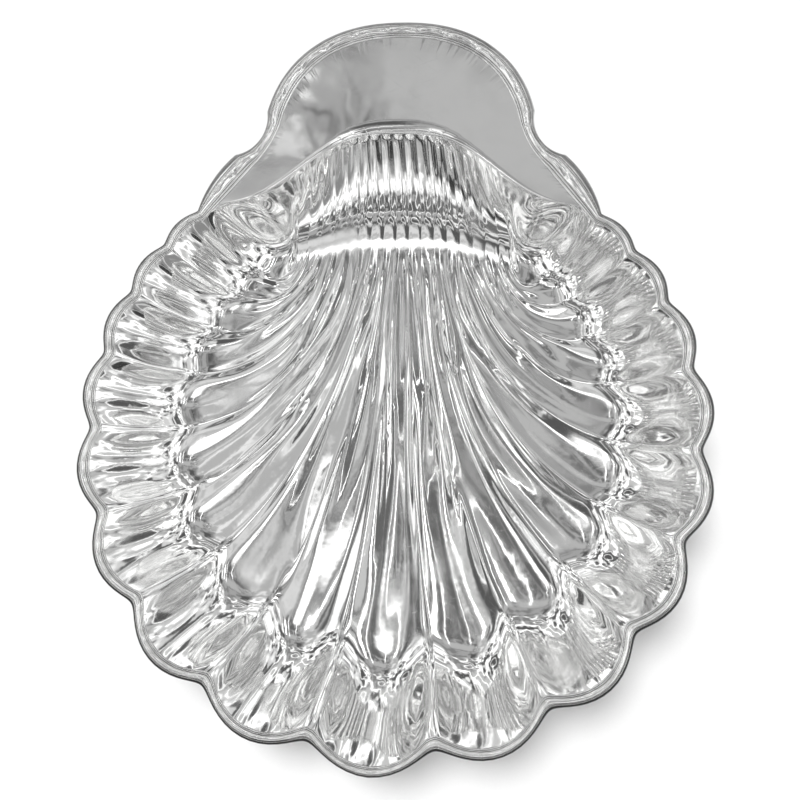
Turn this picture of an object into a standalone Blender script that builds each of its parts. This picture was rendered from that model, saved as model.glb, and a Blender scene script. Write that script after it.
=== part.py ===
"""Scallop-shell serving dish: a stamped metal shell, an applied border moulding and three ball feet.

The bowl is a fan of concave flutes. Each flute starts on the shelf line at the foot of the handle,
runs down the back wall to the umbo, spreads over the floor and climbs the side wall to its own lobe
of the rim. A flute is one step of the lobe coordinate u: lobe k spans u = k - 0.5 to k + 0.5, and
lobe 0 is the front one. Past the last lobe an ear scoop closes the bowl on each side.

Metres, +Z up, +Y towards the handle, standing on its feet at z = 0.
"""

import math

import bmesh
import bpy
from mathutils import Vector

# Overall
HALF_LENGTH = 0.1525
RIM_HEIGHT = 0.0450
HANDLE_LIFT = 0.0060
FLOOR_HEIGHT = 0.0175
FLOOR_SAG = 0.0050
SHEET = 0.0012
GAP = 0.0003

# Bowl outline: all the crests between lobes end on one circle
LOBES_PER_SIDE = 8
LAST_CREST = LOBES_PER_SIDE + 0.5
CREST_RADIUS = 0.1186
FRONT_LOBE_ANGLE = math.radians(23.66)
LOBE_ANGLE_LOSS = math.radians(0.886)
INNER_BULGE_RATIO = 0.270
INNER_BULGE_LOSS = 0.018
NOTCH_WIDTH = 0.0082
NOTCH_WIDTH_LOSS = 0.00040
OUTER_BULGE_FRONT = 0.0090
OUTER_BULGE_BACK = 0.0018
NOTCH_SOFTNESS = 0.35
BOWL_CENTRE_Y = CREST_RADIUS + NOTCH_WIDTH + OUTER_BULGE_FRONT - HALF_LENGTH

# Shelf line between the handle panel and the back wall: a flat-topped bell
SHELF_FOOT_Y = 0.0763
SHELF_RISE = 0.0304
SHELF_HALF_WIDTH = 0.0463
SHELF_POWER = 3

# Flute lines
TOP_PITCH = 0.00484
UMBO_PITCH = 0.00563
UMBO_Y = 0.0671
UMBO_SIDE_RISE = 0.0049
FAN_START_MIDDLE = 0.0200
FAN_START_SIDE = 0.0290
FAN_START_POWER = 6
FAN_END_MIDDLE = 0.1000
FAN_END_SIDE = 0.0310
FAN_END_POWER = 1.67
BACK_SHARE = 0.22

# Walls and flute depths
FRONT_WALL = 0.0360
SIDE_WALL = 0.0280
BACK_WALL = 0.0395
BACK_WALL_SIDE = 0.0300
EAR_WALL = 0.0200
SIDE_TURN = 0.70 * math.pi
BACK_TURN = 0.40 * math.pi
WALL_FOOT_ROUND = 0.22
FLUTE_DEPTH_SHELF = 0.00038
FLUTE_DEPTH_UMBO = 0.00003
FLUTE_DEPTH_FRONT = 0.0032
FLUTE_DEPTH_SIDE = 0.0016
FLUTE_GROWTH = 1.5
FLUTE_TOP = 0.0016

# Ear scoops
EAR_POLE_X = 0.0600
EAR_CORNER_X = 0.0754
EAR_CORNER_SHARE = 0.40
EAR_DEPTH = 0.0030

# Handle outline, right half: (half width, half height, centre y) of each superellipse crown, then
# the plan points that its arcs pass through on the way down to the bowl
CROWN_POWER = 2.3
OUTER_CROWN = (0.0579, HALF_LENGTH - 0.0991, 0.0991)
OUTER_BUMP_Y = 0.1160
OUTER_COVE = (0.0597, 0.1031)
OUTER_SHOULDER = (0.0691, 0.0979)
OUTER_FLANK = (0.0794, 0.0853)
INNER_CROWN = (0.0513, 0.0493, 0.0972)
INNER_BUMP_Y = 0.1134
INNER_COVE = (0.0547, 0.1016)
INNER_SHOULDER = (0.0616, 0.0927)
INNER_FLANK = (0.0685, 0.0845)
FLANK_CORNER_SHARE = 0.25

# Border moulding: (share of the way out, share of its height) round the section
FLANGE_MARGIN = 0.0008
BORDER_HEIGHT = 0.0030
BORDER_SECTION = ((0.06, 0.0), (0.12, 0.60), (0.50, 1.0), (1.0, 0.50), (1.0, 0.0))

# Ball feet: flute coordinates (u, v) of the spot each one stands under
FOOT_RADIUS = 0.0050
FOOT_FLAT_RADIUS = 0.0026
FOOT_NECK_RADIUS = 0.0024
FOOT_ARC_STEPS = 6
FOOT_SIDES = 16
FOOT_SPOTS = {
    "foot_front_left": (-2.0, 0.78),
    "foot_front_right": (2.0, 0.78),
    "foot_back": (0.0, 0.30),
}

# Mesh steps
STEPS_PER_LOBE = 4
STEPS_PER_EAR = 10
BACK_ROWS = 5
FLOOR_ROWS = 10
PANEL_ROWS = 2
WELD = 1e-6


def blend(first, last, share):
    return first + (last - first) * share


def lobe_angle(u):
    """Angle about the bowl's centre, from the front (-Y) round towards +X."""
    a = abs(u)
    return math.copysign(FRONT_LOBE_ANGLE * a - LOBE_ANGLE_LOSS * a * a, u)


def across_flute(u):
    """0 on a crest, 1 along the middle of a flute."""
    t = 2 * (u - round(u))
    return 1 - t * t


def lobe_width(k):
    """Length along the crest circle between the two crests of lobe k."""
    if k == 0:
        return 2 * CREST_RADIUS * lobe_angle(0.5)
    return CREST_RADIUS * (lobe_angle(k + 0.5) - lobe_angle(k - 0.5))


def lobe_of(u):
    """Number of the lobe that u lies in, the same on both sides."""
    return min(round(abs(u)), LOBES_PER_SIDE)


def outward(u):
    """Unit vector in plan from the bowl's centre along lobe coordinate u."""
    angle = lobe_angle(u)
    return Vector((math.sin(angle), -math.cos(angle), 0.0))


def bowl_centre():
    return Vector((0.0, BOWL_CENTRE_Y, 0.0))


def rim_inner(u):
    """Inner edge of the rim in plan: round lobes that meet in sharp cusps."""
    k = lobe_of(u)
    ratio = INNER_BULGE_RATIO - INNER_BULGE_LOSS * k
    t = 2 * (abs(u) - k)
    return bowl_centre() + (CREST_RADIUS + ratio * lobe_width(k) * (1 - t * t)) * outward(u)


def rim_outer(u):
    """Outer edge of the rim in plan: the same lobes with soft notches between them."""
    t = 2 * (abs(u) - lobe_of(u))
    rounded = math.hypot(1 - t * t, NOTCH_SOFTNESS) - NOTCH_SOFTNESS
    rounded /= math.hypot(1.0, NOTCH_SOFTNESS) - NOTCH_SOFTNESS
    bulge = blend(OUTER_BULGE_FRONT, OUTER_BULGE_BACK, abs(u) / LAST_CREST)
    notch = NOTCH_WIDTH - NOTCH_WIDTH_LOSS * abs(u)
    return bowl_centre() + (CREST_RADIUS + notch + bulge * rounded) * outward(u)


def shelf_point(x):
    """Plan point of the shelf line at this x."""
    fall = math.exp(-((abs(x) / SHELF_HALF_WIDTH) ** SHELF_POWER))
    return Vector((x, SHELF_FOOT_Y + SHELF_RISE * fall, 0.0))


def rim_level(y):
    """Height of the rim: level round the bowl, lifting towards the tip of the handle."""
    share = max(0.0, (y - SHELF_FOOT_Y) / (HALF_LENGTH - SHELF_FOOT_Y))
    return RIM_HEIGHT + HANDLE_LIFT * share**2


def ear_edge(side, e):
    """The ear's edge in plan, from the last crest (e = 0) by the panel's corner to the pole (1)."""
    if e <= EAR_CORNER_SHARE:
        return rim_inner(side * LAST_CREST).lerp(shelf_point(side * EAR_CORNER_X), e / EAR_CORNER_SHARE)
    back = (e - EAR_CORNER_SHARE) / (1 - EAR_CORNER_SHARE)
    return shelf_point(side * blend(EAR_CORNER_X, EAR_POLE_X, back))


def flute_line(u):
    """Start, umbo point, two guide points and end in plan of the line with lobe coordinate u."""
    side = math.copysign(1.0, u)
    main = min(abs(u), LAST_CREST)
    e = abs(u) - main
    a = main / LAST_CREST
    start = shelf_point(side * blend(TOP_PITCH * main, EAR_POLE_X, e))
    end = ear_edge(side, e) if e > 0 else rim_inner(u)
    umbo = Vector((side * UMBO_PITCH * main, UMBO_Y + UMBO_SIDE_RISE * a * a, 0.0))
    umbo = umbo.lerp(start, e)
    fan_start = blend(FAN_START_MIDDLE, FAN_START_SIDE, a**FAN_START_POWER) * (1 - e)
    fan_end = blend(FAN_END_MIDDLE, FAN_END_SIDE, a**FAN_END_POWER) * (1 - e)
    guide_near = umbo - Vector((0.0, fan_start, 0.0))
    guide_far = end - fan_end * outward(side * main)
    return start, umbo, guide_near, guide_far, end


def cubic(p0, p1, p2, p3, t):
    """Point at t of the cubic curve with these four control points."""
    s = 1 - t
    return s**3 * p0 + 3 * s * s * t * p1 + 3 * s * t * t * p2 + t**3 * p3


def wall(distance, width, turn):
    """Height share of a wall that rises like part of a cosine, this far in plan from its top edge.

    Its foot is eased into the floor over WALL_FOOT_ROUND of its width on both sides.
    """
    s = 1 - distance / width
    if s < WALL_FOOT_ROUND:
        s = max(0.0, s + WALL_FOOT_ROUND) ** 2 / (4 * WALL_FOOT_ROUND)
    return (1 - math.cos(turn * s)) / (1 - math.cos(turn))


def wall_widths(u):
    """Width in plan of the side wall and of the back wall at lobe coordinate u."""
    a = min(abs(u) / LAST_CREST, 1.0)
    e = max(abs(u) - LAST_CREST, 0.0)
    side_width = blend(FRONT_WALL, SIDE_WALL, a)
    back_width = blend(BACK_WALL, BACK_WALL_SIDE, a**3)
    return blend(side_width, EAR_WALL, e), blend(back_width, EAR_WALL, min(1.0, 2 * e))


def flute_depth(u, v):
    """Depth of the flute below its crests: it fades from the shelf to the umbo, then grows to the wall."""
    e = abs(u) - LAST_CREST
    if e > 0:
        return EAR_DEPTH * 4 * e * (1 - e)
    if v < BACK_SHARE:
        return blend(FLUTE_DEPTH_SHELF, FLUTE_DEPTH_UMBO, (v / BACK_SHARE) ** 2) * across_flute(u)
    spread = (v - BACK_SHARE) / (1 - BACK_SHARE)
    widest = blend(FLUTE_DEPTH_FRONT, FLUTE_DEPTH_SIDE, abs(u) / LAST_CREST)
    return blend(FLUTE_DEPTH_UMBO, widest, spread**FLUTE_GROWTH) * across_flute(u)


def bowl_point(u, v):
    """Point inside the bowl; v runs from the shelf line (0) by the umbo (BACK_SHARE) to the rim (1)."""
    start, umbo, guide_near, guide_far, end = flute_line(u)
    if v < BACK_SHARE:
        spot = start.lerp(umbo, v / BACK_SHARE)
    else:
        spot = cubic(umbo, guide_near, guide_far, end, (v - BACK_SHARE) / (1 - BACK_SHARE))
    side_width, back_width = wall_widths(u)
    side_climb = wall((spot - end).length, side_width, SIDE_TURN)
    back_climb = wall((spot - start).length, back_width, BACK_TURN)
    climb = 1 - (1 - side_climb) * (1 - back_climb)
    reach = (spot - bowl_centre()).length / CREST_RADIUS
    floor = FLOOR_HEIGHT - FLOOR_SAG * max(0.0, 1 - reach * reach)
    if abs(u) <= LAST_CREST:
        carve = (1 - side_climb**2) * min(1.0, (spot - start).length / FLUTE_TOP)
    else:
        carve = (1 - climb) * (1 + 3 * climb)
    spot.z = blend(floor, rim_level(spot.y), climb) - flute_depth(u, v) * carve
    return spot


def arc_point(first, middle, last, share):
    """Point at this share of the circular arc through three plan points."""
    a, b, c = (complex(*p[:2]) for p in (first, middle, last))
    w = (c - a) / (b - a)
    centre = a + (b - a) * (w - abs(w) ** 2) / (2j * w.imag)
    sweep = (c - centre) / (a - centre)
    half = (b - centre) / (a - centre)
    turn = math.atan2(sweep.imag, sweep.real)
    if turn * math.atan2(half.imag, half.real) < 0:
        turn -= math.copysign(2 * math.pi, turn)
    spot = centre + (a - centre) * complex(math.cos(turn * share), math.sin(turn * share))
    return Vector((spot.real, spot.imag, 0.0))


def crown_point(crown, bump_y, share):
    """Point of the handle's crown, from its bump (share 0) to the tip (1)."""
    half_width, half_height, centre_y = crown
    bump = math.asin(((bump_y - centre_y) / half_height) ** (CROWN_POWER / 2))
    angle = blend(bump, math.pi / 2, share)
    power = 2 / CROWN_POWER
    x = half_width * max(0.0, math.cos(angle)) ** power
    return Vector((x, centre_y + half_height * math.sin(angle) ** power, 0.0))


def handle_inner(piece, share):
    """Inner edge of the border: piece 0 is the flank, 1 the cove and 2 the crown."""
    bump = crown_point(INNER_CROWN, INNER_BUMP_Y, 0.0)
    if piece == 0:
        return arc_point(shelf_point(EAR_CORNER_X), INNER_FLANK, INNER_SHOULDER, share)
    if piece == 1:
        return arc_point(INNER_SHOULDER, INNER_COVE, bump, share)
    return crown_point(INNER_CROWN, INNER_BUMP_Y, share)


def handle_outer(piece, share):
    """Outer edge of the border, in the same three pieces."""
    bump = crown_point(OUTER_CROWN, OUTER_BUMP_Y, 0.0)
    if piece == 0:
        along = blend(FLANK_CORNER_SHARE, 1.0, share)
        return arc_point(rim_outer(LAST_CREST), OUTER_FLANK, OUTER_SHOULDER, along)
    if piece == 1:
        return arc_point(OUTER_SHOULDER, OUTER_COVE, bump, share)
    return crown_point(OUTER_CROWN, OUTER_BUMP_Y, share)


def mirrored(point):
    return Vector((-point.x, point.y, point.z))


def shelf_stations():
    """Plan points of the shelf line from the right corner to the left one, as the bowl's mesh has them."""
    corner_steps = round(STEPS_PER_EAR * EAR_CORNER_SHARE)
    right = [ear_edge(1.0, i / STEPS_PER_EAR) for i in range(corner_steps, STEPS_PER_EAR)]
    right += [flute_line(LAST_CREST + i / STEPS_PER_EAR)[0] for i in range(STEPS_PER_EAR, 0, -1)]
    steps = int(2 * LAST_CREST * STEPS_PER_LOBE)
    main = [shelf_point(TOP_PITCH * (LAST_CREST - i / STEPS_PER_LOBE)) for i in range(steps + 1)]
    return right + main + [mirrored(p) for p in reversed(right)]


def handle_stations():
    """(inner, outer) plan points of the border round the handle, one pair for each shelf station."""
    half = (len(shelf_stations()) - 1) // 2
    pieces = ((0, half // 3), (1, half // 4), (2, half - half // 3 - half // 4))
    right = [
        (handle_inner(piece, i / steps), handle_outer(piece, i / steps))
        for piece, steps in pieces
        for i in range(steps)
    ]
    tip = (handle_inner(2, 1.0), handle_outer(2, 1.0))
    return right + [tip] + [(mirrored(a), mirrored(b)) for a, b in reversed(right)]


def ear_stations(side):
    """(inner, outer) plan points of the border beside an ear, from the last crest to before the corner."""
    steps = round(STEPS_PER_EAR * EAR_CORNER_SHARE)
    pairs = []
    for i in range(steps):
        along = FLANK_CORNER_SHARE * i / steps
        outer = arc_point(rim_outer(LAST_CREST), OUTER_FLANK, OUTER_SHOULDER, along)
        inner = ear_edge(1.0, i / STEPS_PER_EAR)
        pairs.append((inner, outer) if side > 0 else (mirrored(inner), mirrored(outer)))
    return pairs


def border_stations():
    """(inner, outer) plan points right round the dish, anticlockwise from the left end of the lobes."""
    steps = int(2 * LAST_CREST * STEPS_PER_LOBE)
    lobes = [-LAST_CREST + i / STEPS_PER_LOBE for i in range(1, steps)]
    left = ear_stations(-1.0)
    return (
        [left[0]]
        + [(rim_inner(u), rim_outer(u)) for u in lobes]
        + ear_stations(1.0)
        + handle_stations()
        + left[:0:-1]
    )


def at_rim(point, above=0.0):
    """The plan point lifted to the rim's height there, or to this far above it."""
    return Vector((point.x, point.y, rim_level(point.y) + above))


def add_grid(bm, columns, rows, place):
    """Add a grid of faces and put its corner (i, j) at place(i, j)."""
    grid = bmesh.ops.create_grid(bm, x_segments=columns, y_segments=rows, size=1.0)
    for vertex in grid["verts"]:
        i = round((vertex.co.x + 1) / 2 * columns)
        j = round((vertex.co.y + 1) / 2 * rows)
        vertex.co = place(i, j)


def lobe_coordinates():
    """u of each column of the bowl, from the left ear's pole to the right ear's."""
    ear = [LAST_CREST + i / STEPS_PER_EAR for i in range(STEPS_PER_EAR, 0, -1)]
    steps = int(2 * LAST_CREST * STEPS_PER_LOBE)
    main = [-LAST_CREST + i / STEPS_PER_LOBE for i in range(steps + 1)]
    return [-u for u in ear] + main + ear[::-1]


def row_coordinates():
    """v of each row of the bowl, closer together towards the side wall."""
    back = [BACK_SHARE * i / BACK_ROWS for i in range(BACK_ROWS)]
    ahead = [math.sin(math.pi / 2 * i / FLOOR_ROWS) for i in range(FLOOR_ROWS + 1)]
    return back + [blend(BACK_SHARE, 1.0, share) for share in ahead]


def new_object(name, bm, material, smooth_angle):
    """Turn the mesh into a linked object, smooth but for edges sharper than smooth_angle."""
    mesh = bpy.data.meshes.new(name)
    bm.to_mesh(mesh)
    bm.free()
    mesh.materials.append(material)
    mesh.shade_smooth()
    mesh.set_sharp_from_angle(angle=smooth_angle)
    obj = bpy.data.objects.new(name, mesh)
    bpy.context.scene.collection.objects.link(obj)
    return obj


def metal(name, colour, roughness):
    """A bare metal of this colour and polish."""
    material = bpy.data.materials.new(name)
    material.use_nodes = True
    shader = material.node_tree.nodes["Principled BSDF"]
    shader.inputs["Base Color"].default_value = (*colour, 1.0)
    shader.inputs["Metallic"].default_value = 1.0
    shader.inputs["Roughness"].default_value = roughness
    return material


def flange_edge(inner, outer):
    """Where the flange stops, a little inside the border's outer edge."""
    return outer - FLANGE_MARGIN * (outer - inner).normalized()


def make_dish(material):
    """The stamped sheet: fluted bowl, handle panel and the flange that carries the border."""
    bm = bmesh.new()
    columns, rows = lobe_coordinates(), row_coordinates()
    add_grid(bm, len(columns) - 1, len(rows) - 1, lambda i, j: bowl_point(columns[i], rows[j]))
    shelf, handle = shelf_stations(), handle_stations()
    add_grid(
        bm,
        len(shelf) - 1,
        PANEL_ROWS,
        lambda i, j: at_rim(shelf[-1 - i].lerp(handle[-1 - i][0], j / PANEL_ROWS)),
    )
    stations = border_stations()
    for index, (inner, outer) in enumerate(stations):
        next_inner, next_outer = stations[(index + 1) % len(stations)]
        ring = (inner, flange_edge(inner, outer), flange_edge(next_inner, next_outer), next_inner)
        bm.faces.new([bm.verts.new(at_rim(point)) for point in ring])
    bmesh.ops.remove_doubles(bm, verts=bm.verts, dist=WELD)
    bmesh.ops.dissolve_degenerate(bm, edges=bm.edges, dist=WELD)
    bmesh.ops.recalc_face_normals(bm, faces=bm.faces)
    if sum(face.normal.z for face in bm.faces) < 0:
        bmesh.ops.reverse_faces(bm, faces=bm.faces)
    dish = new_object("dish_body", bm, material, math.radians(50))
    sheet = dish.modifiers.new("sheet", "SOLIDIFY")
    sheet.thickness = SHEET
    sheet.offset = -1.0
    return dish


def make_border(material):
    """The moulding: one closed section carried right round the rim, resting on the flange."""
    bm = bmesh.new()
    stations = border_stations()
    rings = []
    for inner, outer in stations:
        section = [
            at_rim(inner.lerp(outer, out), GAP + BORDER_HEIGHT * up) for out, up in BORDER_SECTION
        ]
        rings.append([bm.verts.new(point) for point in section])
    sides = len(BORDER_SECTION)
    for index, ring in enumerate(rings):
        following = rings[(index + 1) % len(rings)]
        for k in range(sides):
            bm.faces.new((ring[k], ring[(k + 1) % sides], following[(k + 1) % sides], following[k]))
    bmesh.ops.recalc_face_normals(bm, faces=bm.faces)
    return new_object("border_moulding", bm, material, math.radians(40))


def make_foot(name, material, u, v):
    """A turned ball foot with a neck, filed flat where it stands."""
    spot = bowl_point(u, v)
    top = spot.z - SHEET - GAP
    centre_z = math.sqrt(FOOT_RADIUS**2 - FOOT_FLAT_RADIUS**2)
    low = math.asin(-centre_z / FOOT_RADIUS)
    high = math.acos(FOOT_NECK_RADIUS / FOOT_RADIUS)
    profile = [(0.0, 0.0)]
    for i in range(FOOT_ARC_STEPS + 1):
        angle = blend(low, high, i / FOOT_ARC_STEPS)
        profile.append((FOOT_RADIUS * math.cos(angle), centre_z + FOOT_RADIUS * math.sin(angle)))
    profile += [(FOOT_NECK_RADIUS, top), (0.0, top)]
    bm = bmesh.new()
    verts = [bm.verts.new((x, 0.0, z)) for x, z in profile]
    edges = [bm.edges.new(pair) for pair in zip(verts, verts[1:])]
    bmesh.ops.spin(
        bm,
        geom=verts + edges,
        axis=(0.0, 0.0, 1.0),
        cent=(0.0, 0.0, 0.0),
        angle=2 * math.pi,
        steps=FOOT_SIDES,
        use_merge=True,
    )
    bmesh.ops.remove_doubles(bm, verts=bm.verts, dist=WELD)
    bmesh.ops.recalc_face_normals(bm, faces=bm.faces)
    foot = new_object(name, bm, material, math.radians(40))
    foot.location = (spot.x, spot.y, 0.0)
    return foot


def main():
    for obj in list(bpy.data.objects):
        bpy.data.objects.remove(obj)
    make_dish(metal("polished_silver", (0.87, 0.87, 0.86), 0.06))
    make_border(metal("border_silver", (0.84, 0.84, 0.83), 0.10))
    foot_metal = metal("foot_silver", (0.80, 0.80, 0.79), 0.14)
    for name, (u, v) in FOOT_SPOTS.items():
        make_foot(name, foot_metal, u, v)


main()
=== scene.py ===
"""Looks for a silver serving dish in the shape of a scallop shell.

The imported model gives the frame: one sheet that is fluted bowl and handle panel together, a border
moulding and three ball feet. Each is made again here with its finished surface, dressed, and stands
for its plain node. Metres, +Z up, +Y towards the handle.

A place in the bowl has two coordinates. u counts lobes round the rim: lobe k spans u = k - 0.5 to
k + 0.5, lobe 0 is the front one, and an ear scoop follows the last lobe on each side. v runs along
a flute: 0 on the shelf line at the foot of the handle, then the umbo, then 1 on the rim.
"""

import logging
import math
from collections.abc import Callable
from dataclasses import dataclass
from enum import Enum

import bmesh
import bpy
from mathutils import Matrix, Vector


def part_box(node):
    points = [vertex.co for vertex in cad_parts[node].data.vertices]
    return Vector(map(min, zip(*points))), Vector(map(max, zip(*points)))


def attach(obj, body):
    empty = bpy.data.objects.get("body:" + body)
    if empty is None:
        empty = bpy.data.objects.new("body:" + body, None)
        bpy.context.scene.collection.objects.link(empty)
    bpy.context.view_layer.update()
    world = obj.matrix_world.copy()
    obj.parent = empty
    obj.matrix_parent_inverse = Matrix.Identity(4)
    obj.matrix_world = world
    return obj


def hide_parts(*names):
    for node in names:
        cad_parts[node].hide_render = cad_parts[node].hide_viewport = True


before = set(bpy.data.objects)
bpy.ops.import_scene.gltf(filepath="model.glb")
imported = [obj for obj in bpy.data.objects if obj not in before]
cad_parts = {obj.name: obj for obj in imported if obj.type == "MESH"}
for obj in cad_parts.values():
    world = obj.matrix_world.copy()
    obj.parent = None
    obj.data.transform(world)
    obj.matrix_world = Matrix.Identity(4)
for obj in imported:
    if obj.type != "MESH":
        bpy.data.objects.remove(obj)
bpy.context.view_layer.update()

logging.basicConfig(level=logging.INFO, format="%(message)s")
log = logging.getLogger("shell_dish")

MM = 0.001
WELD = 1e-6
ROOT = "root"


class Slot(Enum):
    """The record's material slots."""

    SHEET = "sheet"
    BORDER = "border"
    FEET = "feet"


class HandlePart(Enum):
    """The three arcs of the border beside the handle, from the bowl up to the tip."""

    FLANK = 0
    COVE = 1
    CROWN = 2


# ---------------------------------------------------------------- node arithmetic


def operator(operation: str, swapped: bool = False) -> Callable:
    """Make one of Signal's operators.

    Args:
        operation: Operation of the Math node that it adds.
        swapped: Whether the other operand stands on the left.

    Returns:
        The method, which takes the other operand.
    """

    def apply(signal: "Signal", other: "Signal | float") -> "Signal":
        """Add the Math node for the two operands."""
        first, second = (other, signal) if swapped else (signal, other)
        return signal.math(operation, first, second)

    return apply


class Signal:
    """A socket's output that can be used in Python arithmetic; each operator adds a Math node."""

    def __init__(self, bench: "NodeBench", socket: bpy.types.NodeSocket) -> None:
        """Wrap one output socket.

        Args:
            bench: The node tree that new nodes go into.
            socket: The output to wrap.
        """
        self.bench = bench
        self.socket = socket

    def math(self, operation: str, *operands: "Signal | float") -> "Signal":
        """Add a Math node.

        Args:
            operation: The node's operation.
            operands: Its inputs in order.

        Returns:
            The node's result.
        """
        return self.bench.add("ShaderNodeMath", {"operation": operation}, dict(enumerate(operands)))

    __add__, __radd__ = operator("ADD"), operator("ADD", True)
    __sub__, __rsub__ = operator("SUBTRACT"), operator("SUBTRACT", True)
    __mul__, __rmul__ = operator("MULTIPLY"), operator("MULTIPLY", True)
    __truediv__, __pow__ = operator("DIVIDE"), operator("POWER")
    most, least = operator("MAXIMUM"), operator("MINIMUM")

    def __abs__(self) -> "Signal":
        """Size without its sign."""
        return self.math("ABSOLUTE", self)

    def wave(self) -> "Signal":
        """Sine of an angle in radians."""
        return self.math("SINE", self)

    def step(self, low: float, high: float) -> "Signal":
        """Rise smoothly from 0 to 1.

        Args:
            low: Value where the rise starts.
            high: Value where it ends.

        Returns:
            0 below low, 1 above high, smooth between them.
        """
        settings = {"interpolation_type": "SMOOTHSTEP", "clamp": True}
        inputs = {"Value": self, "From Min": low, "From Max": high}
        return self.bench.add("ShaderNodeMapRange", settings, inputs)

    def band(self, rise: float, risen: float, fall: float, fallen: float) -> "Signal":
        """1 between risen and fall, 0 below rise and above fallen, smooth between them."""
        return self.step(rise, risen) * (1.0 - self.step(fall, fallen))


class NodeBench:
    """Adds nodes to one node tree."""

    def __init__(self, tree: bpy.types.NodeTree) -> None:
        """Start with an empty tree.

        Args:
            tree: The tree of a material or a world.
        """
        self.tree = tree
        tree.nodes.clear()

    def node(
        self, kind: str, settings: dict | None = None, inputs: dict | None = None
    ) -> bpy.types.Node:
        """Add a node.

        Args:
            kind: The node's type.
            settings: Properties of the node, set before its sockets.
            inputs: Values or Signals by socket name or index.

        Returns:
            The new node.
        """
        made = self.tree.nodes.new(kind)
        for name, value in (settings or {}).items():
            setattr(made, name, value)
        for name, value in (inputs or {}).items():
            if isinstance(value, Signal):
                self.tree.links.new(value.socket, made.inputs[name])
            else:
                made.inputs[name].default_value = value
        return made

    def add(
        self,
        kind: str,
        settings: dict | None = None,
        inputs: dict | None = None,
        output: str | int = 0,
    ) -> Signal:
        """Add a node and return one of its outputs.

        Args:
            kind: The node's type.
            settings: As for node().
            inputs: As for node().
            output: Name or index of the output.

        Returns:
            That output.
        """
        return Signal(self, self.node(kind, settings, inputs).outputs[output])

    def place(self, scale: tuple = (1.0, 1.0, 1.0), turn: tuple = (0.0, 0.0, 0.0)) -> Signal:
        """Object coordinates, scaled and turned.

        Args:
            scale: Factor on each axis.
            turn: Turn about each axis in radians.

        Returns:
            The coordinates.
        """
        spot = self.add("ShaderNodeTexCoord", output="Object")
        settings = {"vector_type": "TEXTURE"}
        size = tuple(1 / factor for factor in scale)
        return self.add("ShaderNodeMapping", settings, {"Vector": spot, "Scale": size, "Rotation": turn})

    def noise(self, spot: Signal, per_metre: float, detail: float = 2.0, rough: float = 0.5) -> Signal:
        """Soft noise.

        Args:
            spot: Coordinates in metres.
            per_metre: Noise cells in a metre, or in a unit of the coordinates.
            detail: Octaves.
            rough: Strength of each octave against the one before.

        Returns:
            The noise, about 0.5 in the middle.
        """
        inputs = {"Vector": spot, "Scale": per_metre, "Detail": detail, "Roughness": rough}
        return self.add("ShaderNodeTexNoise", {}, inputs)

    def attribute(self, name: str) -> Signal:
        """A number stored on the mesh."""
        return self.add("ShaderNodeAttribute", {"attribute_name": name}, output="Fac")

    def mix(self, share: Signal, first: tuple | Signal, second: tuple) -> Signal:
        """Mix two colours.

        Args:
            share: 0 for the first, 1 for the second.
            first: Red, green and blue, or a mixed colour.
            second: Red, green and blue.

        Returns:
            The mixed colour.
        """
        first = first if isinstance(first, Signal) else (*first, 1.0)
        inputs = {"Factor": share, 6: first, 7: (*second, 1.0)}
        return self.add("ShaderNodeMix", {"data_type": "RGBA"}, inputs, output=2)


@dataclass(frozen=True)
class NoisePatch:
    """Soft patches cut out of noise: 0 where the noise is under low, 1 where it is over high."""

    per_metre: float
    detail: float
    rough: float
    low: float
    high: float

    def on(self, bench: NodeBench, spot: Signal) -> Signal:
        """The patches at these coordinates."""
        return bench.noise(spot, self.per_metre, self.detail, self.rough).step(self.low, self.high)


# ---------------------------------------------------------------- finishes


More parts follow.
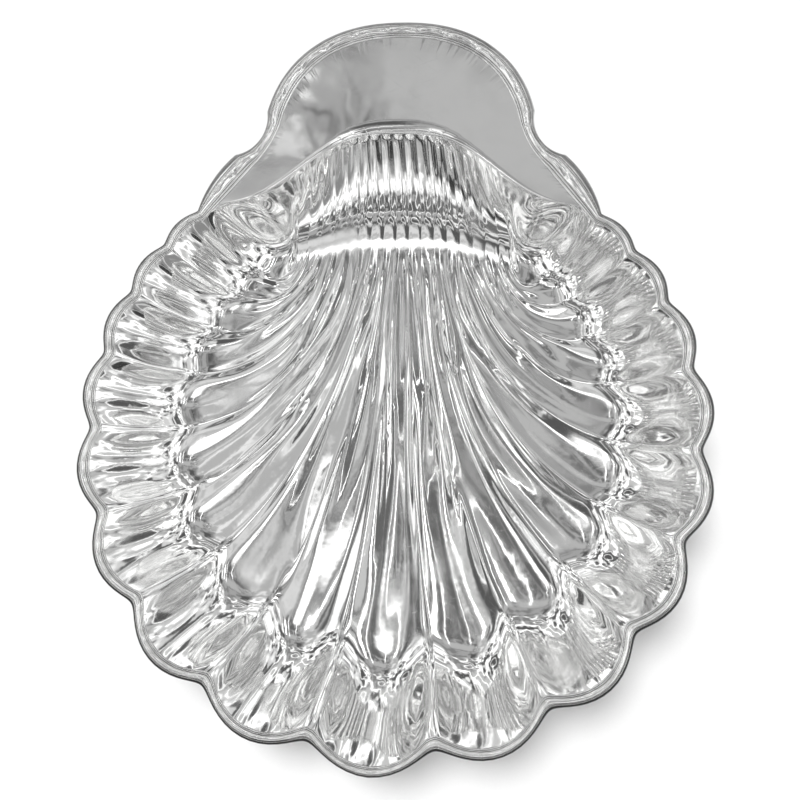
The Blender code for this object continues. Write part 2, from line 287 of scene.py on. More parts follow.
@dataclass(frozen=True)
class SilverFinish:
    """Polished silver plate: a mirror with fine scratches, smears and the stamp's slight ripple,
    darkened by random stains and, where a mesh attribute asks for it, by tarnish and painted shade.
    """

    name: str
    bright: tuple = (0.93, 0.93, 0.925)
    dull: tuple = (0.62, 0.62, 0.61)
    polish: float = 0.05
    smear: float = 0.10
    ripple: float = 0.17 * MM
    ripple_per_metre: float = 50.0
    ripple_detail: tuple = (1.5, 0.4)
    tremble: float = 0.020 * MM
    tremble_per_metre: float = 260.0
    # Colour of painted shade: the border wire's outer flank is darkened to stand for the shadowed floor
    # that it reflects.
    shade: tuple = (0.07, 0.07, 0.07)
    # Name of the mesh attribute that darkens the silver: values up to 1 mix towards the dull colour as
    # tarnish and painted shade, values from 1 to 2 mix towards the painted shade colour.
    tarnish_and_painted_shade: str | None = None
    calm: str | None = None
    smears: NoisePatch = NoisePatch(38.0, 4.0, 0.6, 0.48, 0.74)
    stains: NoisePatch = NoisePatch(90.0, 3.0, 0.5, 0.45, 0.80)
    stain_strength: float = 0.10
    strokes: tuple = ((0.35, 1.0), (1.45, 1.15), (2.5, 0.85))
    stroke_cells: tuple = (60.0, 2600.0, 400.0)
    hairline: NoisePatch = NoisePatch(1.0, 2.0, 0.6, 0.66, 0.72)
    scratch_patches: NoisePatch = NoisePatch(30.0, 2.0, 0.5, 0.45, 0.70)
    scratch_depth: float = 0.0006 * MM
    scratch_roughness: float = 0.16
    tarnish_roughness: float = 0.10

    def make(self) -> bpy.types.Material:
        """Build the material.

        Returns:
            The finished material.
        """
        material = bpy.data.materials.new(self.name)
        material.use_nodes = True
        bench = NodeBench(material.node_tree)
        spot = bench.place()
        smears = self.smears.on(bench, spot)
        scratches = self._scratches(bench)
        stains_and_painted_shade = self.stains.on(bench, spot) * self.stain_strength
        # Random stains, plus the mesh's darkening attribute, which is tarnish and painted shade.
        if self.tarnish_and_painted_shade:
            stains_and_painted_shade = (stains_and_painted_shade + bench.attribute(self.tarnish_and_painted_shade)).least(1.0)
        colour = bench.mix(stains_and_painted_shade, self.bright, self.dull)
        # Attribute values past 1 paint shade on the wire's outer flank.
        if self.tarnish_and_painted_shade:
            colour = bench.mix((bench.attribute(self.tarnish_and_painted_shade) - 1.0).most(0.0), colour, self.shade)
        roughness = self.polish + self.smear * smears
        roughness = roughness + scratches * self.scratch_roughness + stains_and_painted_shade * self.tarnish_roughness
        ripple = bench.noise(spot, self.ripple_per_metre, *self.ripple_detail) * self.ripple
        tremble = bench.noise(spot, self.tremble_per_metre, 1.0) * self.tremble
        if self.calm:
            tremble = tremble * (1.0 - bench.attribute(self.calm))
        height = ripple + tremble - scratches * self.scratch_depth
        normal = bench.add("ShaderNodeBump", {}, {"Height": height, "Distance": 1.0, "Strength": 1.0})
        surface = bench.add(
            "ShaderNodeBsdfPrincipled",
            {},
            {"Base Color": colour, "Metallic": 1.0, "Roughness": roughness, "Normal": normal},
        )
        bench.node("ShaderNodeOutputMaterial", {}, {"Surface": surface})
        return material

    def _scratches(self, bench: NodeBench) -> Signal:
        """Fine hairlines in three directions.

        Args:
            bench: The material's nodes.

        Returns:
            1 on a hairline, 0 between them.
        """
        total = None
        long, across, deep = self.stroke_cells
        for turn, density in self.strokes:
            along = bench.place((long * density, across * density, deep), (0.0, 0.0, turn))
            line = self.hairline.on(bench, along)
            total = line if total is None else total.most(line)
        return total * self.scratch_patches.on(bench, bench.place())


@dataclass(frozen=True)
class PaperFinish:
    """The pale sweep that the dish stands on."""

    name: str = "pale_paper"
    grey: float = 0.75
    fleck: float = 0.72
    roughness: float = 0.9
    grain_per_metre: float = 900.0
    grain_depth: float = 0.02 * MM

    def make(self) -> bpy.types.Material:
        """Build the material.

        Returns:
            The finished material.
        """
        material = bpy.data.materials.new(self.name)
        material.use_nodes = True
        bench = NodeBench(material.node_tree)
        grain = bench.noise(bench.place(), self.grain_per_metre, 3.0)
        colour = bench.mix(grain, (self.fleck,) * 3, (self.grey,) * 3)
        bump = {"Height": grain * self.grain_depth, "Distance": 1.0}
        normal = bench.add("ShaderNodeBump", {}, bump)
        inputs = {"Base Color": colour, "Roughness": self.roughness, "Normal": normal}
        surface = bench.add("ShaderNodeBsdfPrincipled", {}, inputs)
        bench.node("ShaderNodeOutputMaterial", {}, {"Surface": surface})
        return material


# ---------------------------------------------------------------- shared shapes


def blend(first: float, last: float, share: float) -> float:
    """The value this share of the way from first to last; it works on vectors too."""
    return first + (last - first) * share


def share_of(value: float) -> float:
    """The value held between 0 and 1."""
    return min(1.0, max(0.0, value))


def mirrored(point: Vector) -> Vector:
    """The same point on the other side of the dish."""
    return Vector((-point.x, point.y, point.z))


def cubic(p0: Vector, p1: Vector, p2: Vector, p3: Vector, t: float) -> Vector:
    """A point of a cubic curve.

    Args:
        p0: First end.
        p1: Its guide point.
        p2: The last end's guide point.
        p3: Last end.
        t: Share of the curve.

    Returns:
        The point.
    """
    s = 1 - t
    return s**3 * p0 + 3 * s * s * t * p1 + 3 * s * t * t * p2 + t**3 * p3


def arc_point(first: Vector, middle: Vector, last: Vector, share: float) -> Vector:
    """A point of the circular arc through three plan points.

    Args:
        first: Where the arc starts.
        middle: A point on it.
        last: Where it ends.
        share: Share of its length.

    Returns:
        The point.
    """
    a, b, c = (complex(*p[:2]) for p in (first, middle, last))
    w = (c - a) / (b - a)
    centre = a + (b - a) * (w - abs(w) ** 2) / (2j * w.imag)
    sweep = (c - centre) / (a - centre)
    half = (b - centre) / (a - centre)
    turn = math.atan2(sweep.imag, sweep.real)
    if turn * math.atan2(half.imag, half.real) < 0:
        turn -= math.copysign(2 * math.pi, turn)
    spot = centre + (a - centre) * complex(math.cos(turn * share), math.sin(turn * share))
    return Vector((spot.real, spot.imag, 0.0))


def add_grid(
    bm: bmesh.types.BMesh, columns: int, rows: int, place: Callable[[int, int], Vector]
) -> dict:
    """Add a grid of faces and bring its corners to their places.

    Args:
        bm: The mesh.
        columns: Faces across.
        rows: Faces along.
        place: Gives the place of corner (i, j).

    Returns:
        (i, j) by vertex.
    """
    grid = bmesh.ops.create_grid(bm, x_segments=columns, y_segments=rows, size=1.0)
    corners = {}
    for vertex in grid["verts"]:
        i = round((vertex.co.x + 1) / 2 * columns)
        j = round((vertex.co.y + 1) / 2 * rows)
        vertex.co = place(i, j)
        corners[vertex] = (i, j)
    return corners


def finished(
    name: str, bm: bmesh.types.BMesh, material: bpy.types.Material, sharp: float
) -> bpy.types.Object:
    """Turn a mesh into a linked object with smooth shading.

    Args:
        name: The piece's name.
        bm: Its mesh, which is freed.
        material: Its finish.
        sharp: Angle in degrees past which an edge stays sharp.

    Returns:
        The object, at the origin.
    """
    mesh = bpy.data.meshes.new(name)
    bm.to_mesh(mesh)
    bm.free()
    mesh.materials.append(material)
    mesh.shade_smooth()
    mesh.set_sharp_from_angle(angle=math.radians(sharp))
    piece = bpy.data.objects.new(name, mesh)
    bpy.context.scene.collection.objects.link(piece)
    return piece


def settle(piece: bpy.types.Object, slot: Slot, *nodes: str) -> None:
    """Put a finished piece on the frame in place of its plain nodes.

    Args:
        piece: The piece.
        slot: The record's slot; not used.
        nodes: The CAD nodes that it stands for.
    """
    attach(piece, ROOT)
    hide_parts(*nodes)
    log.info("%s: %d faces, stands for %s", piece.name, len(piece.data.polygons), ", ".join(nodes))


# ---------------------------------------------------------------- the shell's form


@dataclass(frozen=True)
class Ripple:
    """A slow wave over the bowl, in radians for each unit of u, v and drift."""

    strength: float
    per_u: float
    per_v: float
    per_drift: float = 0.0
    start: float = 0.0

    def at(self, u: float, v: float, drift: float = 0.0) -> float:
        """Its height at a place; the drift bends it sideways."""
        turn = self.per_u * u + self.per_v * v + self.per_drift * drift + self.start
        return self.strength * math.sin(turn)


@dataclass(frozen=True)
class ShellForm:
    """Plan and height of the whole dish; lengths in metres, angles in radians."""

    half_length: float
    rim_height: float
    handle_lift: float = 6.0 * MM
    floor_height: float = 17.5 * MM
    floor_sag: float = 5.0 * MM

    lobes_per_side: int = 8
    crest_radius: float = 118.6 * MM
    front_lobe_angle: float = math.radians(23.66)
    lobe_angle_loss: float = math.radians(0.886)
    inner_bulge_ratio: float = 0.270
    inner_bulge_loss: float = 0.018
    notch_width: float = 8.2 * MM
    notch_width_loss: float = 0.40 * MM
    outer_bulge_front: float = 9.0 * MM
    outer_bulge_back: float = 1.8 * MM
    notch_softness: float = 0.35

    shelf_foot_y: float = 76.3 * MM
    shelf_rise: float = 30.4 * MM
    shelf_half_width: float = 46.3 * MM
    shelf_power: float = 3.0

    top_pitch: float = 4.84 * MM
    umbo_pitch: float = 5.63 * MM
    umbo_y: float = 67.1 * MM
    umbo_side_rise: float = 4.9 * MM
    fan_start: tuple = (20.0 * MM, 29.0 * MM, 6.0)
    fan_end: tuple = (100.0 * MM, 31.0 * MM, 1.67)
    back_share: float = 0.22

    front_wall: float = 36.0 * MM
    side_wall: float = 28.0 * MM
    back_wall: float = 39.5 * MM
    back_wall_side: float = 30.0 * MM
    ear_wall: float = 20.0 * MM
    side_turn: float = 0.70 * math.pi
    back_turn: float = 0.40 * math.pi
    side_foot_round: float = 0.22
    back_foot_round: float = 0.42
    flute_depth_shelf: float = 0.38 * MM
    flute_depth_umbo: float = 0.03 * MM
    flute_depth_front: float = 3.2 * MM
    flute_depth_side: float = 1.6 * MM
    flute_growth: float = 1.5
    hand_work: float = 0.16
    sways: tuple = (
        Ripple(1.0, 2.1, 9.0, start=0.7),
        Ripple(0.8, 5.3, -14.0, start=1.9),
        Ripple(0.6, 3.7, 23.0, start=4.1),
    )
    hammer_share: float = 0.17
    hammer_start: float = 6.0
    hammer_end: float = 2.2
    wanders: tuple = (Ripple(1.0, 1.3, 7.0), Ripple(0.6, -2.9, 13.0, start=0.8))
    ridges: tuple = (Ripple(1.0, 12.6, 3.0, 3.1), Ripple(0.6, 21.5, -5.0, 2.3))
    flute_top: float = 1.6 * MM
    crest_round: float = 0.16

    ear_pole_x: float = 60.0 * MM
    ear_corner_x: float = 75.4 * MM
    ear_corner_share: float = 0.40
    ear_depth: float = 3.0 * MM
    ear_hold: float = 3.0

    crown_power: float = 2.3
    outer_crown: tuple = (57.9 * MM, 99.1 * MM)
    outer_bump_y: float = 116.0 * MM
    outer_cove: tuple = (59.7 * MM, 103.1 * MM)
    outer_shoulder: tuple = (69.1 * MM, 97.9 * MM)
    outer_flank: tuple = (79.4 * MM, 85.3 * MM)
    inner_crown: tuple = (51.3 * MM, 97.2 * MM)
    inner_crown_tip: float = 146.5 * MM
    inner_bump_y: float = 113.4 * MM
    inner_cove: tuple = (54.7 * MM, 101.6 * MM)
    inner_shoulder: tuple = (61.6 * MM, 92.7 * MM)
    inner_flank: tuple = (68.5 * MM, 84.5 * MM)
    flank_corner_share: float = 0.25

    @property
    def last_crest(self) -> float:
        """Lobe coordinate of the crest between the last lobe and the ear."""
        return self.lobes_per_side + 0.5

    @property
    def bowl_centre(self) -> Vector:
        """Centre of the circle that the crests end on."""
        front = self.crest_radius + self.notch_width + self.outer_bulge_front
        return Vector((0.0, front - self.half_length, 0.0))

    def lobe_angle(self, u: float) -> float:
        """Angle about the bowl's centre, from the front (-Y) round towards +X."""
        a = abs(u)
        return math.copysign(self.front_lobe_angle * a - self.lobe_angle_loss * a * a, u)

    def lobe_width(self, k: int) -> float:
        """Length along the crest circle between the two crests of lobe k."""
        if k == 0:
            return 2 * self.crest_radius * self.lobe_angle(0.5)
        return self.crest_radius * (self.lobe_angle(k + 0.5) - self.lobe_angle(k - 0.5))

    def lobe_of(self, u: float) -> int:
        """Number of the lobe that u lies in, the same on both sides."""
        return min(round(abs(u)), self.lobes_per_side)

    def outward(self, u: float) -> Vector:
        """Unit plan vector from the bowl's centre along u."""
        angle = self.lobe_angle(u)
        return Vector((math.sin(angle), -math.cos(angle), 0.0))

    def rim_inner(self, u: float) -> Vector:
        """Inner edge of the rim in plan: round lobes that meet in cusps."""
        k = self.lobe_of(u)
        ratio = self.inner_bulge_ratio - self.inner_bulge_loss * k
        reach = self.crest_radius + ratio * self.lobe_width(k) * self.hollow(2 * (abs(u) - k))
        return self.bowl_centre + reach * self.outward(u)

    def rim_outer(self, u: float) -> Vector:
        """Outer edge of the rim in plan: the same lobes with soft notches between them."""
        t = 2 * (abs(u) - self.lobe_of(u))
        soft = self.notch_softness
        rounded = (math.hypot(1 - t * t, soft) - soft) / (math.hypot(1.0, soft) - soft)
        bulge = blend(self.outer_bulge_front, self.outer_bulge_back, abs(u) / self.last_crest)
        notch = self.notch_width - self.notch_width_loss * abs(u)
        return self.bowl_centre + (self.crest_radius + notch + bulge * rounded) * self.outward(u)

    def shelf_point(self, x: float) -> Vector:
        """Plan point of the shelf line at this x."""
        fall = math.exp(-((abs(x) / self.shelf_half_width) ** self.shelf_power))
        return Vector((x, self.shelf_foot_y + self.shelf_rise * fall, 0.0))

    def rim_level(self, y: float) -> float:
        """Height of the rim: level round the bowl, lifting towards the tip of the handle."""
        share = max(0.0, (y - self.shelf_foot_y) / (self.half_length - self.shelf_foot_y))
        return self.rim_height + self.handle_lift * share**2

    def at_rim(self, point: Vector, above: float = 0.0) -> Vector:
        """The plan point lifted to the rim's height there, or to this far above it."""
        return Vector((point.x, point.y, self.rim_level(point.y) + above))

    def ear_edge(self, side: float, e: float) -> Vector:
        """The ear's edge in plan.

        Args:
            side: 1 for the right ear, -1 for the left.
            e: 0 at the last crest, past the panel's corner, to 1 at the ear's pole.

        Returns:
            The plan point.
        """
        corner = self.ear_corner_share
        if e <= corner:
            shelf_corner = self.shelf_point(side * self.ear_corner_x)
            return self.rim_inner(side * self.last_crest).lerp(shelf_corner, e / corner)
        back = (e - corner) / (1 - corner)
        return self.shelf_point(side * blend(self.ear_corner_x, self.ear_pole_x, back))

    def flute_line(self, u: float) -> tuple:
        """The line down the back wall and over the floor at one lobe coordinate.

        Args:
            u: The lobe coordinate.

        Returns:
            Its start, the umbo point, two guide points and its end, in plan.
        """
        side = math.copysign(1.0, u)
        main = min(abs(u), self.last_crest)
        e = abs(u) - main
        a = main / self.last_crest
        start = self.shelf_point(side * blend(self.top_pitch * main, self.ear_pole_x, e))
        end = self.ear_edge(side, e) if e > 0 else self.rim_inner(u)
        umbo = Vector((side * self.umbo_pitch * main, self.umbo_y + self.umbo_side_rise * a * a, 0.0))
        umbo = umbo.lerp(start, e)
        near, far, power = self.fan_start
        reach_start = blend(near, far, a**power) * (1 - e)
        near, far, power = self.fan_end
        reach_end = blend(near, far, a**power) * (1 - e)
        guide_near = umbo - Vector((0.0, reach_start, 0.0))
        guide_far = end - reach_end * self.outward(side * main)
        return start, umbo, guide_near, guide_far, end

    def wall(self, distance: float, width: float, turn: float, soft: float) -> float:
        """Height share of a wall, which rises like part of a cosine wave.

        Args:
            distance: Distance in plan from its top edge.
            width: Its whole width in plan.
            turn: How much of the wave it takes; past a quarter turn it flares at the top.
            soft: Share of its width over which its foot is eased.

        Returns:
            1 at the top edge, 0 where it runs out into the floor.
        """
        s = 1 - distance / width
        if s < soft:
            s = max(0.0, s + soft) ** 2 / (4 * soft)
        return (1 - math.cos(turn * s)) / (1 - math.cos(turn))

    def wall_widths(self, u: float) -> tuple:
        """Width in plan of the side wall and of the back wall at a lobe coordinate."""
        a = min(abs(u) / self.last_crest, 1.0)
        e = max(abs(u) - self.last_crest, 0.0)
        side_width = blend(self.front_wall, self.side_wall, a)
        back_width = blend(self.back_wall, self.back_wall_side, a**3)
        return blend(side_width, self.ear_wall, e), blend(back_width, self.ear_wall, min(1.0, 2 * e))

    def hollow(self, t: float) -> float:
        """Depth share across a flute or a lobe: 1 in its middle (t = 0), rounded at its crests."""
        soft = self.crest_round
        return 1 - t * t + max(0.0, abs(t) - 1 + soft) ** 2 / soft

    def flute_depth(self, u: float, v: float) -> float:
        """Depth of a flute below its crests.

        Args:
            u: The lobe coordinate.
            v: The place along the flute.

        Returns:
            The depth, growing from the umbo to the side wall.
        """
        e = abs(u) - self.last_crest
        if e > 0:
            return self.ear_depth * 4 * e * (1 - e)
        if v < self.back_share:
            depth = blend(self.flute_depth_shelf, self.flute_depth_umbo, (v / self.back_share) ** 2)
        else:
            spread = (v - self.back_share) / (1 - self.back_share)
            widest = blend(self.flute_depth_front, self.flute_depth_side, abs(u) / self.last_crest)
            depth = blend(self.flute_depth_umbo, widest, spread**self.flute_growth)
        return depth * self.unevenness(u, v) * self.hollow(2 * (u - round(u)))

    def hammering(self, u: float, v: float) -> float:
        """Height of the faint ridges that the hammer left along the flutes.

        Args:
            u: The lobe coordinate.
            v: The place along the flute.

        Returns:
            The height, 0 at the umbo and on the rim.
        """
        spread = max(0.0, (v - self.back_share) / (1 - self.back_share))
        side = share_of(abs(u) / self.last_crest)
        widest = blend(self.flute_depth_front, self.flute_depth_side, side)
        wander = sum(ripple.at(u, v) for ripple in self.wanders)
        ridges = sum(ripple.at(u, v, wander) for ripple in self.ridges)
        fade = min(1.0, self.hammer_start * spread) * min(1.0, self.hammer_end * (1 - spread))
        return self.hammer_share * widest * spread * fade * ridges

    def unevenness(self, u: float, v: float) -> float:
        """How much deeper or shallower than the rule the hand-worked sheet is at a place, about 1."""
        return 1 + self.hand_work * sum(ripple.at(u, v) for ripple in self.sways)

    def bowl_point(self, u: float, v: float) -> Vector:
        """A point of the bowl's inside.

        Args:
            u: The lobe coordinate.
            v: 0 on the shelf line, back_share at the umbo, 1 on the rim.

        Returns:
            The point.
        """
        start, umbo, guide_near, guide_far, end = self.flute_line(u)
        if v < self.back_share:
            spot = start.lerp(umbo, v / self.back_share)
        else:
            share = (v - self.back_share) / (1 - self.back_share)
            spot = cubic(umbo, guide_near, guide_far, end, share)
        side_width, back_width = self.wall_widths(u)
        side_climb = self.wall((spot - end).length, side_width, self.side_turn, self.side_foot_round)
        back_climb = self.wall((spot - start).length, back_width, self.back_turn, self.back_foot_round)
        climb = 1 - (1 - side_climb) * (1 - back_climb)
        reach = (spot - self.bowl_centre).length / self.crest_radius
        floor = self.floor_height - self.floor_sag * max(0.0, 1 - reach * reach)
        if abs(u) <= self.last_crest:
            carve = (1 - side_climb**2) * min(1.0, (spot - start).length / self.flute_top)
        else:
            carve = (1 - climb) * (1 + self.ear_hold * climb)
        spot.z = blend(floor, self.rim_level(spot.y), climb) - self.flute_depth(u, v) * carve
        spot.z += self.hammering(u, v)
        return spot

    def crown_point(self, crown: tuple, tip: float, bump_y: float, share: float) -> Vector:
        """A point of the handle's crown.

        Args:
            crown: Half width of the superellipse and the y of its centre.
            tip: y of its tip.
            bump_y: y where it starts.
            share: 0 at the start, 1 at the tip.

        Returns:
            The plan point.
        """
        half_width, centre_y = crown
        half_height = tip - centre_y
        start = math.asin(((bump_y - centre_y) / half_height) ** (self.crown_power / 2))
        angle = blend(start, math.pi / 2, share)
        power = 2 / self.crown_power
        x = half_width * max(0.0, math.cos(angle)) ** power
        return Vector((x, centre_y + half_height * math.sin(angle) ** power, 0.0))

    def handle_inner(self, part: HandlePart, share: float) -> Vector:
        """Inner edge of the border beside the handle, this share along one of its arcs."""
        bump = self.crown_point(self.inner_crown, self.inner_crown_tip, self.inner_bump_y, 0.0)
        if part is HandlePart.FLANK:
            corner = self.shelf_point(self.ear_corner_x)
            return arc_point(corner, self.inner_flank, self.inner_shoulder, share)
        if part is HandlePart.COVE:
            return arc_point(self.inner_shoulder, self.inner_cove, bump, share)
        return self.crown_point(self.inner_crown, self.inner_crown_tip, self.inner_bump_y, share)

    def handle_outer(self, part: HandlePart, share: float) -> Vector:
        """Outer edge of the border beside the handle, this share along one of its arcs."""
        bump = self.crown_point(self.outer_crown, self.half_length, self.outer_bump_y, 0.0)
        if part is HandlePart.FLANK:
            along = blend(self.flank_corner_share, 1.0, share)
            first = self.rim_outer(self.last_crest)
            return arc_point(first, self.outer_flank, self.outer_shoulder, along)
        if part is HandlePart.COVE:
            return arc_point(self.outer_shoulder, self.outer_cove, bump, share)
        return self.crown_point(self.outer_crown, self.half_length, self.outer_bump_y, share)


@dataclass(frozen=True)
class ShellSteps:
    """How finely the form is divided, and the matched stations of its edges."""

    form: ShellForm
    per_lobe: int = 12
    per_ear: int = 20

    def lobe_columns(self) -> list:
        """u of each station of the lobes, closer together at the crests."""
        places = [-self.form.last_crest]
        for k in range(-self.form.lobes_per_side, self.form.lobes_per_side + 1):
            for i in range(1, self.per_lobe + 1):
                places.append(k - 0.5 * math.cos(math.pi * i / self.per_lobe))
        return places

    def bowl_columns(self) -> list:
        """u of each column of the bowl, from the left ear's pole to the right ear's."""
        ear = [self.form.last_crest + i / self.per_ear for i in range(self.per_ear, 0, -1)]
        return [-u for u in ear] + self.lobe_columns() + ear[::-1]

    def shelf_stations(self) -> list:
        """Plan points of the shelf line from the right corner to the left one."""
        form, steps = self.form, self.per_ear
        corner = round(steps * form.ear_corner_share)
        right = [form.ear_edge(1.0, i / steps) for i in range(corner, steps)]
        right += [form.flute_line(form.last_crest + i / steps)[0] for i in range(steps, 0, -1)]
        main = [form.shelf_point(-form.top_pitch * u) for u in self.lobe_columns()]
        return right + main + [mirrored(p) for p in reversed(right)]

    def handle_stations(self) -> list:
        """(inner, outer) plan points round the handle, one pair for each shelf station."""
        half = (len(self.shelf_stations()) - 1) // 2
        counts = {HandlePart.FLANK: half // 3, HandlePart.COVE: half // 4}
        counts[HandlePart.CROWN] = half - sum(counts.values())
        right = [
            (self.form.handle_inner(part, i / steps), self.form.handle_outer(part, i / steps))
            for part, steps in counts.items()
            for i in range(steps)
        ]
        crown = HandlePart.CROWN
        tip = (self.form.handle_inner(crown, 1.0), self.form.handle_outer(crown, 1.0))
        return right + [tip] + [(mirrored(a), mirrored(b)) for a, b in reversed(right)]

    def ear_stations(self, side: float) -> list:
        """(inner, outer) plan points beside an ear, from the last crest to before the corner."""
        form = self.form
        steps = round(self.per_ear * form.ear_corner_share)
        pairs = []
        for i in range(steps):
            along = form.flank_corner_share * i / steps
            first = form.rim_outer(form.last_crest)
            outer = arc_point(first, form.outer_flank, form.outer_shoulder, along)
            inner = form.ear_edge(1.0, i / self.per_ear)
            pairs.append((inner, outer) if side > 0 else (mirrored(inner), mirrored(outer)))
        return pairs

    def round_stations(self) -> list:
        """(inner, outer) plan points right round the dish, anticlockwise from the lobes' left end."""
        lobes = self.lobe_columns()[1:-1]
        left = self.ear_stations(-1.0)
        return (
            [left[0]]
            + [(self.form.rim_inner(u), self.form.rim_outer(u)) for u in lobes]
            + self.ear_stations(1.0)
            + self.handle_stations()
            + left[:0:-1]
        )


# ---------------------------------------------------------------- the pieces


@dataclass
class DishSheet:
    """The stamped sheet: fluted bowl, handle panel with its ridge, and the flange under the border."""

    steps: ShellSteps
    finish: SilverFinish
    thickness: float = 1.2 * MM
    back_rows: int = 34
    floor_rows: int = 96
    panel_rows: int = 12
    ridge_rows: int = 5
    ridge_width: float = 1.5 * MM
    ridge_height: float = 0.35 * MM
    flange_margin: float = 0.8 * MM
    ear_strokes: int = 40
    ear_stroke: float = 0.5
    ear_lap: float = 0.12
    ear_fixed_rows: int = 2
    ridge_limit: float = 0.4
    sharp: float = 62.0

    def bowl_rows(self) -> list:
        """v of each row of the bowl, closer together at the shelf line and at the rim."""
        share = self.steps.form.back_share
        back = [share * (1 - math.cos(math.pi / 2 * i / self.back_rows)) for i in range(self.back_rows)]
        ahead = [math.sin(math.pi / 2 * i / self.floor_rows) for i in range(self.floor_rows + 1)]
        return back + [blend(share, 1.0, part) for part in ahead]

    def panel_point(self, shelf: Vector, edge: Vector, row: int) -> Vector:
        """A point of the handle panel.

        Args:
            shelf: Plan point on the shelf line.
            edge: Plan point on the border's inner edge.
            row: Row counted from the shelf line.

        Returns:
            The point, raised on the ridge that follows the shelf line.
        """
        length = (edge - shelf).length
        ridge = min(self.ridge_width, self.ridge_limit * length)
        if row <= self.ridge_rows:
            distance = ridge * row / self.ridge_rows
        else:
            share = (row - self.ridge_rows) / (self.panel_rows - self.ridge_rows)
            distance = blend(ridge, length, share)
        bump = math.sin(math.pi * min(1.0, distance / max(ridge, WELD))) * ridge / self.ridge_width
        spot = shelf.lerp(edge, distance / max(length, WELD))
        return self.steps.form.at_rim(spot, self.ridge_height * bump)

    def build(self) -> bpy.types.Object:
        """Model the sheet.

        Returns:
            The finished piece.
        """
        form = self.steps.form
        bm = bmesh.new()
        calm = bm.verts.layers.float.new(self.finish.calm)
        self.add_bowl(bm)
        shelf, handle = self.steps.shelf_stations(), self.steps.handle_stations()
        panel = add_grid(
            bm,
            len(shelf) - 1,
            self.panel_rows,
            lambda i, j: self.panel_point(shelf[-1 - i], handle[-1 - i][0], j),
        )
        for vertex in panel:
            vertex[calm] = 1.0
        ring = self.steps.round_stations()
        add_grid(bm, len(ring), 1, lambda i, j: form.at_rim(self.flange_edge(*ring[i % len(ring)], j)))
        bmesh.ops.remove_doubles(bm, verts=bm.verts, dist=WELD)
        bmesh.ops.dissolve_degenerate(bm, edges=bm.edges, dist=WELD)
        bmesh.ops.recalc_face_normals(bm, faces=bm.faces)
        if sum(face.normal.z for face in bm.faces) < 0:
            bmesh.ops.reverse_faces(bm, faces=bm.faces)
        self.thicken(bm)
        piece = finished("fluted_sheet", bm, self.finish.make(), self.sharp)
        settle(piece, Slot.SHEET, "dish_body")
        return piece

    def add_bowl(self, bm: bmesh.types.BMesh) -> None:
        """Add the bowl's inside, with the ears smoothed and each ear's pole closed to a point.

        Args:
            bm: The mesh of the sheet's upper side.
        """
        form, columns, rows = self.steps.form, self.steps.bowl_columns(), self.bowl_rows()
        last, fixed = len(columns) - 1, self.ear_fixed_rows
        grid = add_grid(bm, last, len(rows) - 1, lambda i, j: form.bowl_point(columns[i], rows[j]))
        ears = [
            vertex
            for vertex, (i, j) in grid.items()
            if 0 < i < last
            and fixed < j < len(rows) - fixed
            and abs(columns[i]) > form.last_crest - self.ear_lap
        ]
        axes = {"use_axis_x": True, "use_axis_y": True, "use_axis_z": True}
        for _ in range(self.ear_strokes):
            bmesh.ops.smooth_vert(bm, verts=ears, factor=self.ear_stroke, **axes)
        for side in (0, last):
            pole = [vertex for vertex, (i, _) in grid.items() if i == side]
            rim_end = next(vertex for vertex in pole if grid[vertex][1] == 0)
            bmesh.ops.pointmerge(bm, verts=pole, merge_co=rim_end.co)

    def thicken(self, bm: bmesh.types.BMesh) -> None:
        """Give the sheet its thickness by a copy straight below, closed round the edge.

        Args:
            bm: The mesh of the sheet's upper side.
        """
        made = bmesh.ops.extrude_face_region(bm, geom=bm.faces[:], use_keep_orig=True)
        below = [part for part in made["geom"] if isinstance(part, bmesh.types.BMVert)]
        bmesh.ops.translate(bm, verts=below, vec=(0.0, 0.0, -self.thickness))
        bmesh.ops.recalc_face_normals(bm, faces=bm.faces)

    def flange_edge(self, inner: Vector, outer: Vector, outward: int) -> Vector:
        """Edge of the flange in plan: the rim's inner edge, or a little inside its outer one."""
        if not outward:
            return inner
        return outer - self.flange_margin * (outer - inner).normalized()


@dataclass(frozen=True)
class Reed:
    """One rounded thread of the border's section: shares of its width, its foot and its height."""

    start: float
    end: float
    foot: float
    height: float
    steps: int
    segmented: bool = False
    # Whether the thread's outer flank gets painted shade, standing for the shadowed floor that it
    # reflects.
    shaded_flank: bool = False


